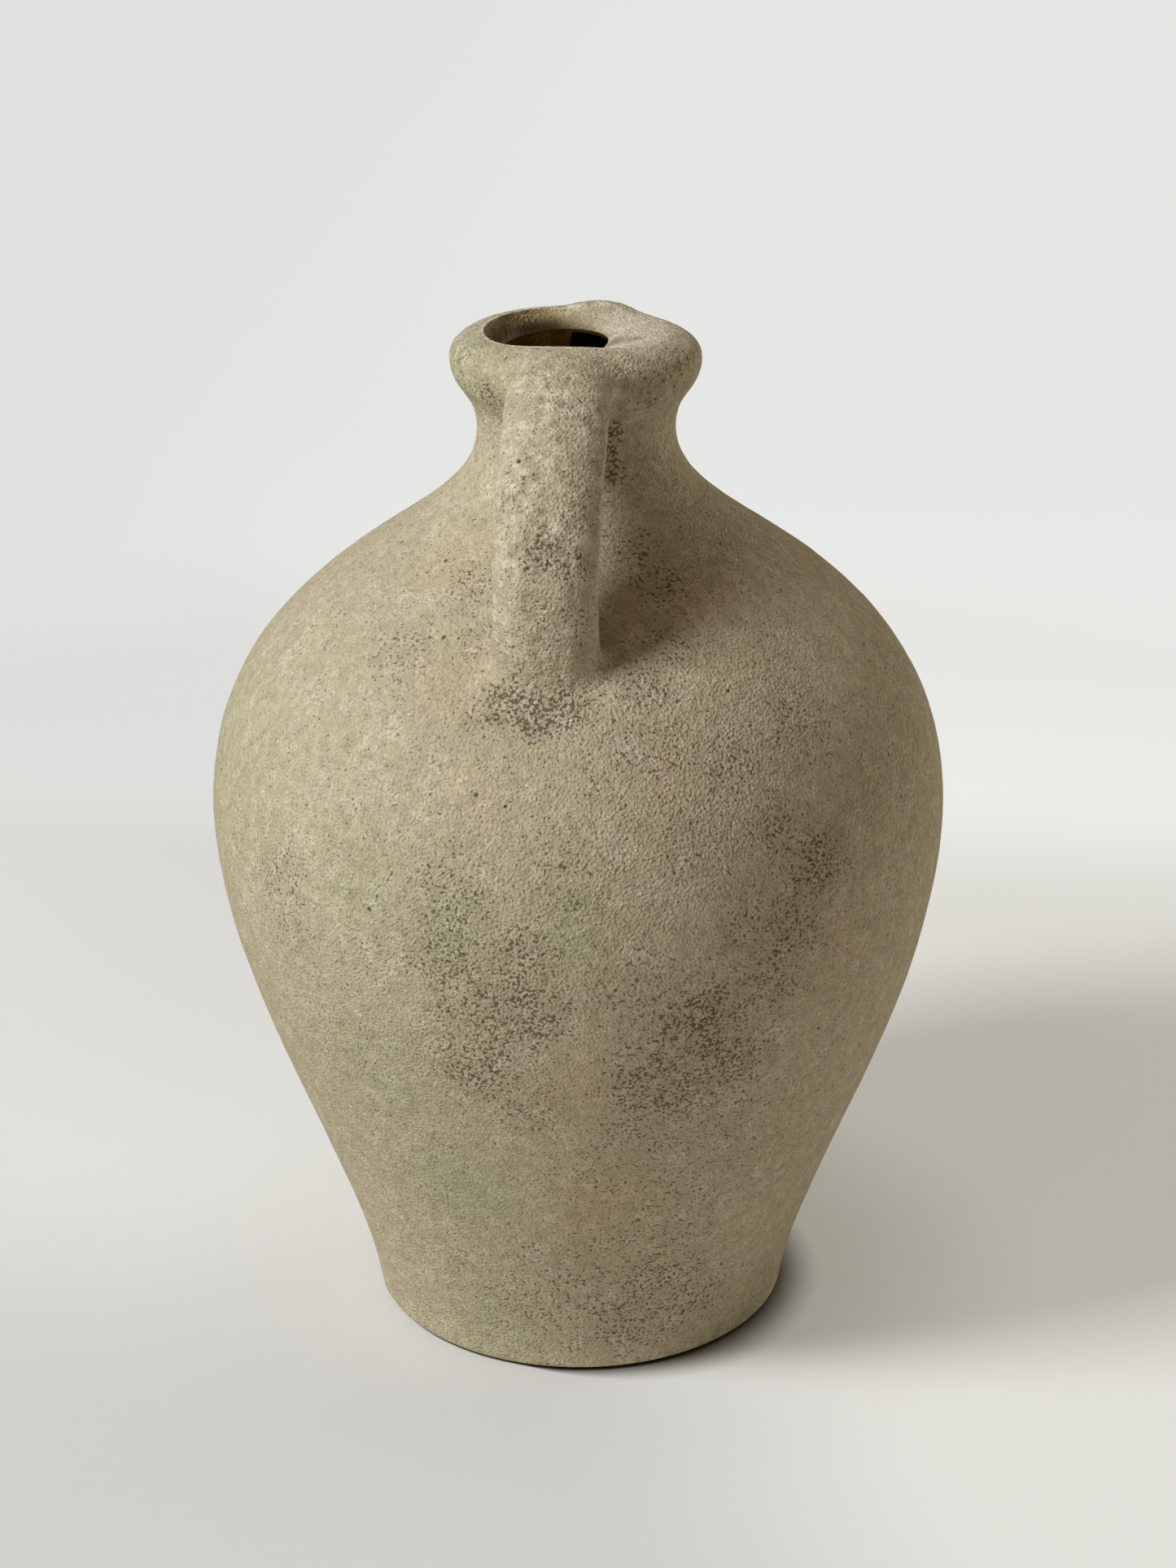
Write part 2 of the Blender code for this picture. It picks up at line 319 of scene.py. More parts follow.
def outer_rows(first, last, step):
    """Rings of the coated outer face between two levels."""
    start, end = outline.length_at(first), outline.length_at(last)
    count = max(2, round((end - start) / step) + 1)
    length, angle = np.meshgrid(np.linspace(start, end, count), ANGLES, indexing="ij")
    return list(coated(*vessel_skin(length, angle)))


def plain_row(radius, level, shift=(0.0, 0.0)):
    """One even ring, moved sideways by its shift."""
    return np.stack([radius * np.cos(ANGLES) + shift[0], radius * np.sin(ANGLES) + shift[1],
                     level + np.zeros(SEGMENTS)], axis=-1)


def inner_rows(first, last, count):
    return [plain_row(outline.inner_radius(level), level) for level in np.linspace(first, last, count)]


def mesh_from_rows(name, rows, closed, materials, slots=None):
    """Piece from rings of equal count: closed into a ring of wall, or capped at both ends.

    slots gives the material of the faces that follow each row."""
    grid = np.array(rows)
    count, sides = grid.shape[:2]
    places = grid.reshape(-1, 3)
    column = np.arange(sides)
    after = (column + 1) % sides
    quads = []
    quad_slots = []
    for row in range(count if closed else count - 1):
        below, above = row * sides, (row + 1) % count * sides
        quads.append(np.stack([below + column, below + after, above + after, above + column], axis=-1))
        quad_slots.append(np.full(sides, slots[row] if slots else 0))
    faces = [tuple(quad) for quad in np.concatenate(quads).tolist()]
    face_slots = np.concatenate(quad_slots).tolist()
    if not closed:
        for row, flip in ((0, True), (count - 1, False)):
            middle = len(places)
            places = np.vstack([places, grid[row].mean(axis=0)])
            ring = row * sides + column
            for a, b in zip(ring.tolist(), np.roll(ring, -1).tolist()):
                faces.append((middle, b, a) if flip else (middle, a, b))
            face_slots += [slots[min(row, count - 2)] if slots else 0] * sides
    mesh = bpy.data.meshes.new(name)
    mesh.from_pydata(places.tolist(), [], faces)
    mesh.polygons.foreach_set("material_index", face_slots)
    mesh.shade_smooth()
    mesh.set_sharp_from_angle(angle=SHARP_ANGLE)
    for material in materials:
        mesh.materials.append(material)
    piece = bpy.data.objects.new(name, mesh)
    bpy.context.scene.collection.objects.link(piece)
    return piece


def dress(piece, node):
    """Puts a piece on the frame in place of its CAD node."""
    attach(piece, "root")
    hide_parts(node)


class Tree:
    """Short way to write a material's nodes."""

    def __init__(self, material):
        material.use_nodes = True
        self.nodes = material.node_tree.nodes
        self.links = material.node_tree.links
        self.nodes.clear()

    def add(self, kind, settings=None, **inputs):
        """New node; an input is a value or another node's output."""
        node = self.nodes.new("ShaderNode" + kind)
        for key, value in (settings or {}).items():
            setattr(node, key, value)
        for key, value in inputs.items():
            socket = self.socket(node, key)
            if isinstance(value, bpy.types.NodeSocket):
                self.links.new(value, socket)
            else:
                socket.default_value = value
        return node

    @staticmethod
    def socket(node, key):
        """Input by its place, as in i0, or by its name with underscores for spaces."""
        if key[0] == "i" and key[1:].isdigit():
            return node.inputs[int(key[1:])]
        return node.inputs[key.replace("_", " ")]

    def math(self, operation, a, b=0.0, clamp=False):
        return self.add("Math", {"operation": operation, "use_clamp": clamp}, i0=a, i1=b).outputs[0]

    def noise(self, place, size, detail=2.0, roughness=0.5, offset=0.0):
        """Noise whose lumps are about one size across."""
        if offset:
            place = self.add("VectorMath", {"operation": "ADD"}, i0=place, i1=(offset,) * 3).outputs[0]
        return self.add("TexNoise", {"noise_dimensions": "3D"}, Vector=place, Scale=1.0 / size,
                        Detail=detail, Roughness=roughness).outputs[0]

    def ramp(self, value, low, high, start=0.0, end=1.0, soft=True):
        kind = "SMOOTHSTEP" if soft else "LINEAR"
        return self.add("MapRange", {"interpolation_type": kind}, Value=value, From_Min=low, From_Max=high,
                        To_Min=start, To_Max=end).outputs[0]

    def mix(self, share, a, b, blend="MIX"):
        node = self.add("Mix", {"data_type": "RGBA", "blend_type": blend}, i0=share, i6=a, i7=b)
        return node.outputs[2]


# Patches on the vessel as (angle in degrees, level, reach, strength), the lengths in millimetres
DARK_PATCHES = {
    "below_root": [(-97, 143.8, 6.3, 1.0), (-91, 143.2, 6.3, 1.0), (-86, 144.2, 5.8, 1.0),
                   (-101, 142, 5, 0.6)],
    "beside_strap": [(-60, 164.5, 5.5, 0.6), (-59, 159.5, 6, 0.65), (-63, 152, 6, 0.5), (-71, 147, 7, 0.6)],
    # The neck's patches darken the crevice right of the strap's top: real specks, deepened as painted shade
    "neck": [(-67, 184, 4, 0.95), (-66, 177, 4, 0.9), (-67, 180.5, 3.5, 0.9), (-48, 191, 4, 0.4)],
    "left_shoulder": [(-123, 149, 8, 0.4), (-115, 159, 7, 0.45), (-108, 152, 6, 0.35)],
    "front_belly": [(-72, 137, 13, 0.35), (-85, 117, 9, 0.4), (-59, 134, 9, 0.4), (-66, 124, 9, 0.35)],
    "right_belly": [(-42, 137, 10, 0.45), (-53, 123, 7, 0.6), (-46, 115, 9, 0.8), (-51, 103, 10, 0.6)],
    "left_waist": [(-102, 114, 9, 0.5), (-103, 101, 10, 0.65), (-92, 102, 9, 0.65), (-93, 92, 11, 0.85),
                   (-99, 89, 10, 0.7), (-100, 78, 10, 0.75), (-92, 70, 9, 0.45)],
    "right_waist": [(-65, 87, 12, 0.9), (-70, 76, 13, 0.8), (-60, 78, 11, 0.8), (-75, 96, 10, 0.45),
                    (-54, 95, 11, 0.5), (-57, 106, 9, 0.45), (-72, 64, 12, 0.45), (-61, 66, 11, 0.4)],
    "low_front": [(-72, 54, 18, 0.3), (-58, 58, 16, 0.3), (-66, 42, 16, 0.3)],
    "left_side": [(-134, 108, 10, 0.45), (-133, 98, 9, 0.4)],
    "foot": [(-64, 25, 12, 0.6), (-71, 13, 11, 0.64), (-56, 16, 11, 0.6), (-99, 17, 12, 0.4),
             (-87, 27, 12, 0.4), (-82, 14, 11, 0.44), (-62, 37, 10, 0.4), (-76, 36, 10, 0.35),
             (-110, 24, 10, 0.3)],
    "rim": [(-127, 190, 3.5, 0.8), (-150, 194, 9, 0.3), (-23, 195, 5.5, 0.45), (-40, 194, 4, 0.35)],
}
# Green tints; the two at -172 degrees also darken the belly's left edge as painted shade
GREEN_AND_EDGE_SHADE_PATCHES = {
    "band": [(-117, 114, 12, 0.7), (-102, 106, 11, 0.8), (-84, 108, 11, 0.7)],
    "left_side": [(-148, 119, 16, 0.6), (-118, 73, 18, 0.7), (-108, 46, 15, 1.0), (-110, 8, 14, 0.8),
                  (-172, 112, 30, 1.0), (-172, 82, 24, 0.8), (-150, 193, 11, 0.8), (-120, 191, 7, 0.7)],
    "right_side": [(-59, 118, 7, 0.6), (-45, 133, 7, 0.6), (-44, 51, 12, 0.3), (-33, 6, 15, 0.5)],
}
PINK_PATCHES = {
    "left_of_root": [(-125, 161, 10, 0.9), (-108, 147, 11, 1.0), (-100, 130, 10, 0.5)],
    "right_shoulder": [(-51, 154, 22, 0.8), (-65, 133, 14, 0.9)],
    "front_low": [(-83, 74, 13, 0.9), (-78, 45, 14, 0.9)],
    "right_side": [(-42, 97, 15, 0.8), (-30, 195, 8, 0.7)],
}
# Single pits in the same form
PITS = {
    "belly": [(-115.5, 108, 0.5, 1.0), (-106, 109, 0.4, 1.0), (-99.5, 131, 0.5, 1.0)],
    "shoulder": [(-54, 144.5, 0.45, 1.0), (-130, 161, 0.45, 1.0), (-115, 152, 0.5, 1.0)],
}
# Patches on the front strap as (step across it, radius, level, reach, strength), in millimetres
STRAP_WASH = [(-1, 51, 172, 5.5, 0.75), (4, 51, 170, 5, 0.65), (3, 52, 160, 7, 0.3), (-4, 53, 152, 7, 0.2),
              (6, 48, 178, 6, 0.3), (-5, 46, 182, 6, 0.25)]
# Pale worn flakes on the strap's top; the spots at -8 across paint a highlight along the strap's lit left
# edge
STRAP_WEAR_AND_HIGHLIGHT = [(-3, 30, 196, 8, 1.0), (1, 37, 192, 8, 1.0), (-4, 44, 186, 9, 0.9), (0, 50, 175, 9, 1.0),
              (-5, 52, 166, 7, 0.8), (-3, 53, 157, 9, 0.8), (-8, 49, 178, 6, 0.8), (-8, 52, 168, 6, 0.8),
              (-8, 53, 157, 6, 0.8), (-8, 54, 147, 6, 0.6)]
# Painted shade in the crease behind the near lip, as (x, y, depth under the lip, reach, strength), in
# millimetres
LIP_CREASE_SHADE = [(8.0, -3.0, 1.4, 2.6, 0.50), (11.0, -4.0, 1.0, 2.6, 0.35)]

# Colours of the coat and its marks, painted highlights and painted shade on it, the clay, and the painted
# shade of the throat and the hollow
COAT_BEIGE = (0.490, 0.450, 0.318, 1.0)
COAT_PALE = (0.720, 0.690, 0.580, 1.0)
COAT_GREEN = (0.418, 0.416, 0.266, 1.0)
COAT_PINK = (0.508, 0.428, 0.300, 1.0)
WASH = (0.118, 0.099, 0.060, 1.0)
PIT_BROWN = (0.060, 0.042, 0.022, 1.0)
# Painted shade tint, warm brown
SHADE_TINT = (1.0, 0.89, 0.70, 1.0)
# Painted shade, brown, deep in the funnel
DEEP_SHADE_BROWN = (0.030, 0.017, 0.005, 1.0)
CLAY = (0.260, 0.190, 0.110, 1.0)
CLAY_DARK = (0.170, 0.118, 0.062, 1.0)
# Painted shade in the throat, with a painted bounce light on its left
THROAT_SHADE_BROWN = (0.042, 0.021, 0.004, 1.0)
THROAT_SHADE_DARK = (0.032, 0.015, 0.003, 1.0)
THROAT_LEFT_BOUNCE = (0.220, 0.125, 0.034, 1.0)
# Painted shade: near-black inside the vase
HOLLOW_SHADE_BROWN = (0.0040, 0.0030, 0.0020, 1.0)
HOLLOW_SHADE_DARK = (0.0020, 0.0015, 0.0010, 1.0)

# Shares of a spot's reach where its soft edge begins and ends
SPOT_EDGE = (1.3, 0.3)


def on_vessel(groups):
    """Spots of named patches as (place, reach, strength)."""
    spots = []
    for group in groups.values():
        for angle, level, reach, strength in group:
            radius = float(outline.radius_at(level * MM))
            turn = math.radians(angle)
            place = (radius * math.cos(turn), radius * math.sin(turn), level * MM)
            spots.append((place, reach * MM, strength))
    return spots


def on_strap(patches):
    return [((step * MM, -radius * MM, level * MM), reach * MM, strength)
            for step, radius, level, reach, strength in patches]


def on_rim(patches):
    return [((x * MM, y * MM, LIP_LEVEL - depth * MM), reach * MM, strength)
            for x, y, depth, reach, strength in patches]


def spot_mask(tree, place, spots):
    """Soft-edged mask of spots."""
    mask = None
    for middle, reach, strength in spots:
        away = tree.add("VectorMath", {"operation": "DISTANCE"}, i0=place, i1=middle)
        spot = tree.ramp(away.outputs["Value"], reach * SPOT_EDGE[0], reach * SPOT_EDGE[1], end=strength)
        mask = spot if mask is None else tree.math("MAXIMUM", mask, spot)
    return mask


def from_axis(tree, place):
    """Distance of a place from the vase's axis."""
    flat = tree.add("VectorMath", {"operation": "MULTIPLY"}, i0=place, i1=(1.0, 1.0, 0.0)).outputs[0]
    return tree.add("VectorMath", {"operation": "LENGTH"}, i0=flat).outputs["Value"]


# Mouth: where each mask fades in, as (none, full) across, down from the lip and out from the axis
LIP_INSIDE = (LIP_RADIUS + 0.5 * MM, LIP_RADIUS - 0.3 * MM)
# Painted shade, brown, deep in the funnel's left and far sides
DEEP_SHADE_ACROSS = (8.5 * MM, -6.5 * MM)
DEEP_SHADE_LEFT_END = (-16.0 * MM, -10.0 * MM)
DEEP_SHADE_AT_LEFT_END = 0.6
DEEP_SHADE_DOWN = (LIP_LEVEL, LIP_LEVEL - 2.9 * MM)
DEEP_SHADE_DOWN_POWER = 1.25
# Painted shade tint on the funnel's upper left
SHADE_TINT_ACROSS = (4.0 * MM, -8.0 * MM)
SHADE_TINT_DOWN = (LIP_LEVEL + 0.5 * MM, LIP_LEVEL - 1.0 * MM)
# Pale slope on the mouth's right: clean of specks, and partly painted light
CLEAN_ACROSS = (1.0 * MM, 8.0 * MM)
CLEAN_UP = (LIP_LEVEL - 2.5 * MM, LIP_LEVEL - 1.2 * MM)
CLEAN_INSIDE = (LIP_RADIUS + 4.0 * MM, LIP_RADIUS - 2.0 * MM)
# The lip's painted highlight: its ring, width, height, side and strength
EDGE_RADIUS = LIP_RADIUS - 0.1 * MM
EDGE_WIDTH = (1.2 * MM, 0.4 * MM)
EDGE_UP = (LIP_LEVEL - 0.6 * MM, LIP_LEVEL)
EDGE_ACROSS = (9.0 * MM, 4.0 * MM)
EDGE_STRENGTH = 0.8
# Crust's values between which it breaks up the masks, and how much of them it leaves
MOUTH_CRUST = (0.30, 0.60)
DEEP_SHADE_COVER = (0.95, 0.99)
CLEAN_COVER = (0.58, 0.72)
EDGE_CRUST = (0.30, 0.55)


def mouth_deep_shade(tree, place, crust):
    """Mask of painted shade, brown, that deepens down the funnel's left and far sides to the throat, where
    the left lip shades them.
    """
    axes = tree.add("SeparateXYZ", Vector=place).outputs
    leftward = tree.ramp(axes["X"], *DEEP_SHADE_ACROSS)
    left_end = tree.ramp(axes["X"], *DEEP_SHADE_LEFT_END, start=DEEP_SHADE_AT_LEFT_END)
    leftward = tree.math("MULTIPLY", leftward, left_end)
    down = tree.math("POWER", tree.ramp(axes["Z"], *DEEP_SHADE_DOWN), DEEP_SHADE_DOWN_POWER)
    inside = tree.ramp(from_axis(tree, place), *LIP_INSIDE)
    deep_shade = tree.math("MULTIPLY", tree.math("MULTIPLY", leftward, down), inside)
    deep_shade = tree.math("MULTIPLY", deep_shade, tree.ramp(crust, *MOUTH_CRUST, *DEEP_SHADE_COVER))
    return tree.math("MAXIMUM", deep_shade, spot_mask(tree, place, on_rim(LIP_CREASE_SHADE)))


def mouth_shade_tint(tree, place):
    """Mask of a painted shade tint, brown, on the funnel's upper left, above the deeper painted shade."""
    axes = tree.add("SeparateXYZ", Vector=place).outputs
    leftward = tree.ramp(axes["X"], *SHADE_TINT_ACROSS)
    down = tree.ramp(axes["Z"], *SHADE_TINT_DOWN)
    inside = tree.ramp(from_axis(tree, place), *LIP_INSIDE)
    return tree.math("MULTIPLY", tree.math("MULTIPLY", leftward, down), inside)


def mouth_clean_lit_slope(tree, place, crust):
    """Mask of the pale slope on the mouth's right: clean of specks, and lighter as painted light where the
    light falls on it.
    """
    axes = tree.add("SeparateXYZ", Vector=place).outputs
    rightward = tree.ramp(axes["X"], *CLEAN_ACROSS)
    high = tree.ramp(axes["Z"], *CLEAN_UP)
    inside = tree.ramp(from_axis(tree, place), *CLEAN_INSIDE)
    clean = tree.math("MULTIPLY", tree.math("MULTIPLY", rightward, high), inside)
    return tree.math("MULTIPLY", clean, tree.ramp(crust, *MOUTH_CRUST, *CLEAN_COVER))


def lip_edge_highlight(tree, place, crust):
    """Mask of a painted highlight: a pale line along the lip's inner edge, where its crest catches the
    light.
    """
    ring = tree.math("ABSOLUTE", tree.math("SUBTRACT", from_axis(tree, place), EDGE_RADIUS))
    axes = tree.add("SeparateXYZ", Vector=place).outputs
    high = tree.ramp(axes["Z"], *EDGE_UP)
    line = tree.math("MULTIPLY", tree.ramp(ring, *EDGE_WIDTH, end=EDGE_STRENGTH), high)
    line = tree.math("MULTIPLY", line, tree.ramp(axes["X"], *EDGE_ACROSS))
    return tree.math("MULTIPLY", line, tree.ramp(crust, *EDGE_CRUST))


def surface_output(tree, shader):
    output = tree.add("OutputMaterial")
    tree.links.new(shader.outputs[0], output.inputs["Surface"])


# Coat: the size of the lumps in each of its noises
GRAIN_SIZE = 0.62 * MM
SAND_SIZE = 0.40 * MM
CRUST_SIZE = 2.2 * MM
MOTTLE_SIZE = 5.0 * MM
DRIFT_SIZE = 30.0 * MM
SPREAD_SIZE = 17.0 * MM
PIT_SPACING = 5.0 * MM
PIMPLE_SPACING = 0.68 * MM
PIMPLE_SMOOTHNESS = 0.3
# Coat: where the far side begins, whose patches come from noise alone
BELOW_RIM = (RIM_SEAM, RIM_SEAM - 12.0 * MM)
FAR_SIDE = (-12.0 * MM, 25.0 * MM)
# Coat: values of a noise between which a tint or a mark fades in, and the mark's strength
TINT_BREAKS = (0.36, 0.58)
TINT_LEAST = 0.35
GREEN_DRIFT = (0.52, 0.66)
PINK_DRIFT = (0.48, 0.34)
FLAKES = (0.50, 0.64)
FLAKE_STRENGTH = 0.5
SUNK = (0.46, 0.34)
SUNK_STRENGTH = 0.2
WORN_GRAINS = (0.44, 0.62)
WORN_AREAS = (0.44, 0.68)
WORN_STRENGTH = 0.5
CLUSTER_BREAKS = (0.34, 0.52)
CLUSTER_LEAST = 0.5
FAR_CLUSTERS = (0.54, 0.72)
FAR_STRENGTH = 0.8
CLUSTER_HAZE = 0.16
# Coat: the grain's level up to which the wash fills the hollows, outside and inside a cluster
WASH_LEVELS = (0.357, 0.530)
WASH_EDGE = 0.08
WASH_STRENGTH = 0.85
# Coat: the share of cells without a pit, the largest pit in parts of the spacing, and its soft edge
PITLESS = 0.6
PIT_LARGEST = 0.10
PIT_EDGE = 0.03
PIT_STRENGTH = 0.85
# Coat: how the sand and the crust vary its tone, more so on the handled part
SAND_RANGE = (0.30, 0.70)
SAND_TONES = (0.80, 1.18)
HANDLED_LEVELS = (168 * MM, 186 * MM)
CRUST_TONES = (0.9, 1.3)
NOISE_MIDDLE = 0.5
# Coat: shares of its bump, and its sheen
PIMPLE_SLOPE = (0.65, 0.10)
GRAIN_RISE = 0.55
SAND_RISE = 0.25
PIMPLE_RISE = 0.30
WASH_DROP = 0.12
PIT_DROP = 0.5
COAT_BUMP = 0.42 * MM
SHEEN_RANGE = (0.3, 0.7)
COAT_ROUGHNESS = (0.97, 0.86)
COAT_SPECULAR = 0.03


def make_coat(name):
    """Matt sandy coat: grains, a dark wash in the hollows, scattered pits and drifting tints, with painted
    shade in the mouth, beside the strap's top and on the belly's left edge, and painted highlights on the
    lip and the strap's left edge.
    """
    material = bpy.data.materials.new(name)
    tree = Tree(material)
    place = tree.add("TexCoord").outputs["Object"]

    grain = tree.noise(place, GRAIN_SIZE, detail=2.0, roughness=0.5)
    sand = tree.noise(place, SAND_SIZE, detail=2.0, roughness=0.6, offset=0.3)
    crust = tree.noise(place, CRUST_SIZE, detail=4.0, roughness=0.7, offset=1.5)
    mottle = tree.noise(place, MOTTLE_SIZE, detail=3.0, roughness=0.6, offset=0.6)
    drift = tree.noise(place, DRIFT_SIZE, detail=2.0, roughness=0.5, offset=0.9)
    spread = tree.noise(place, SPREAD_SIZE, detail=3.0, roughness=0.6, offset=1.2)
    axes = tree.add("SeparateXYZ", Vector=place).outputs
    below_rim = tree.ramp(axes["Z"], *BELOW_RIM)
    rearward = tree.math("MULTIPLY", tree.ramp(axes["Y"], *FAR_SIDE), below_rim)

    broken = tree.ramp(mottle, *TINT_BREAKS, start=TINT_LEAST)
    # Green tints, with painted shade on the belly's left edge
    green_and_edge_shade = tree.math("MULTIPLY", spot_mask(tree, place, on_vessel(GREEN_AND_EDGE_SHADE_PATCHES)), broken)
    pink = tree.math("MULTIPLY", spot_mask(tree, place, on_vessel(PINK_PATCHES)), broken)
    drift_green = tree.math("MULTIPLY", rearward, tree.ramp(drift, *GREEN_DRIFT))
    drift_pink = tree.math("MULTIPLY", rearward, tree.ramp(drift, *PINK_DRIFT))
    colour = tree.mix(tree.math("MAXIMUM", green_and_edge_shade, drift_green), COAT_BEIGE, COAT_GREEN)
    colour = tree.mix(tree.math("MAXIMUM", pink, drift_pink), colour, COAT_PINK)
    # Pale worn flakes on the strap, and a painted highlight along its left edge
    strap_wear_and_highlight = spot_mask(tree, place, on_strap(STRAP_WEAR_AND_HIGHLIGHT))
    flakes_and_highlight = tree.math("MULTIPLY", strap_wear_and_highlight, tree.ramp(crust, *FLAKES, end=FLAKE_STRENGTH))
    sunk = tree.math("MULTIPLY", strap_wear_and_highlight, tree.ramp(crust, *SUNK, end=SUNK_STRENGTH))
    worn_areas = tree.ramp(mottle, *WORN_AREAS, end=WORN_STRENGTH)
    worn = tree.math("MULTIPLY", tree.ramp(grain, *WORN_GRAINS), worn_areas)
    colour = tree.mix(tree.math("MAXIMUM", worn, flakes_and_highlight), colour, COAT_PALE)
    colour = tree.mix(sunk, colour, WASH)

    dark_spots = spot_mask(tree, place, on_vessel(DARK_PATCHES) + on_strap(STRAP_WASH))
    cluster = tree.math("MULTIPLY", dark_spots, tree.ramp(mottle, *CLUSTER_BREAKS, start=CLUSTER_LEAST))
    far_cluster = tree.math("MULTIPLY", rearward, tree.ramp(spread, *FAR_CLUSTERS, end=FAR_STRENGTH))
    cluster = tree.math("MAXIMUM", cluster, far_cluster)
    colour = tree.mix(tree.math("MULTIPLY", cluster, CLUSTER_HAZE), colour, WASH)
    threshold = tree.ramp(cluster, 0.0, 1.0, *WASH_LEVELS, soft=False)
    wash = tree.ramp(tree.math("SUBTRACT", threshold, grain), 0.0, WASH_EDGE, end=WASH_STRENGTH)
    colour = tree.mix(wash, colour, WASH)
    pit_cells = tree.add("TexVoronoi", {"feature": "F1", "distance": "EUCLIDEAN"}, Vector=place,
                         Scale=1.0 / PIT_SPACING, Randomness=1.0).outputs
    pit_chance = tree.add("SeparateColor", Color=pit_cells["Color"]).outputs[0]
    pit_size = tree.ramp(pit_chance, PITLESS, 1.0, end=PIT_LARGEST, soft=False)
    pit = tree.ramp(tree.math("SUBTRACT", pit_size, pit_cells["Distance"]), 0.0, PIT_EDGE)
    pit = tree.math("MAXIMUM", pit, spot_mask(tree, place, on_vessel(PITS)))
    colour = tree.mix(tree.math("MULTIPLY", pit, PIT_STRENGTH), colour, PIT_BROWN)
    # Pale slope on the mouth's right, clean of specks and partly painted light
    colour = tree.mix(mouth_clean_lit_slope(tree, place, crust), colour, COAT_PALE)
    # Painted shade tint on the funnel's upper left
    colour = tree.mix(mouth_shade_tint(tree, place), colour, SHADE_TINT, "MULTIPLY")
    # Painted shade, brown, down the funnel's left and far sides and in the crease behind the near lip
    colour = tree.mix(mouth_deep_shade(tree, place, crust), colour, DEEP_SHADE_BROWN)
    # Painted highlight along the lip's inner edge
    colour = tree.mix(lip_edge_highlight(tree, place, crust), colour, COAT_PALE)
    speckle = tree.ramp(sand, *SAND_RANGE, *SAND_TONES, soft=False)
    handled = tree.ramp(axes["Z"], *HANDLED_LEVELS, *CRUST_TONES)
    blotch = tree.math("MULTIPLY", tree.math("SUBTRACT", crust, NOISE_MIDDLE), handled)
    tone = tree.math("MULTIPLY", speckle, tree.math("ADD", blotch, 1.0))
    colour = tree.add("VectorMath", {"operation": "SCALE"}, i0=colour, Scale=tone).outputs[0]

    pimples = tree.add("TexVoronoi", {"feature": "SMOOTH_F1"}, Vector=place,
                       Scale=1.0 / PIMPLE_SPACING, Smoothness=PIMPLE_SMOOTHNESS).outputs
    pimple = tree.ramp(pimples["Distance"], *PIMPLE_SLOPE)
    height = tree.math("MULTIPLY", grain, GRAIN_RISE)
    height = tree.math("ADD", height, tree.math("MULTIPLY", sand, SAND_RISE))
    height = tree.math("ADD", height, tree.math("MULTIPLY", pimple, PIMPLE_RISE))
    height = tree.math("SUBTRACT", height, tree.math("MULTIPLY", wash, WASH_DROP))
    height = tree.math("SUBTRACT", height, tree.math("MULTIPLY", pit, PIT_DROP))
    bump = tree.add("Bump", Strength=1.0, Distance=COAT_BUMP, Height=height)
    roughness = tree.ramp(grain, *SHEEN_RANGE, *COAT_ROUGHNESS)
    shader = tree.add("BsdfPrincipled", Base_Color=colour, Roughness=roughness, Normal=bump.outputs[0])
    shader.inputs["Specular IOR Level"].default_value = COAT_SPECULAR
    surface_output(tree, shader)
    return material


# Clay: its noises, the values between which its tones change, its bump and its sheen
CLAY_GRAIN_SIZE = 1.1 * MM
CLAY_SMEAR_SIZE = 9.0 * MM
CLAY_SMEARS = (0.35, 0.68)
CLAY_SPECKS = (0.42, 0.30)
CLAY_SPECK_STRENGTH = 0.6
# Where the throat's painted bounce light on its left fades in
CLAY_LEFT_BOUNCE = (-4.5 * MM, -11.0 * MM)
CLAY_BUMP = 0.3 * MM
CLAY_ROUGHNESS = (0.98, 0.88)


def make_clay(name, light, dark, left=None):
    """Matt clay, smeared between two tones, and turning to a third on its left if that is given; it makes
    the bare clay and the painted shade of the throat and the hollow, where the throat's third tone is a
    painted bounce light.
    """
    material = bpy.data.materials.new(name)
    tree = Tree(material)
    place = tree.add("TexCoord").outputs["Object"]
    grain = tree.noise(place, CLAY_GRAIN_SIZE, detail=3.0, roughness=0.6)
    smear = tree.noise(place, CLAY_SMEAR_SIZE, detail=3.0, roughness=0.55, offset=0.4)
    colour = tree.mix(tree.ramp(smear, *CLAY_SMEARS), dark, light)
    colour = tree.mix(tree.ramp(grain, *CLAY_SPECKS, end=CLAY_SPECK_STRENGTH), colour, dark)
    if left:
        across = tree.add("SeparateXYZ", Vector=place).outputs["X"]
        colour = tree.mix(tree.ramp(across, *CLAY_LEFT_BOUNCE), colour, left)
    bump = tree.add("Bump", Strength=1.0, Distance=CLAY_BUMP, Height=grain)
    roughness = tree.ramp(grain, *SHEEN_RANGE, *CLAY_ROUGHNESS)
    shader = tree.add("BsdfPrincipled", Base_Color=colour, Roughness=roughness, Normal=bump.outputs[0])
    shader.inputs["Specular IOR Level"].default_value = 0.0
    surface_output(tree, shader)
    return material


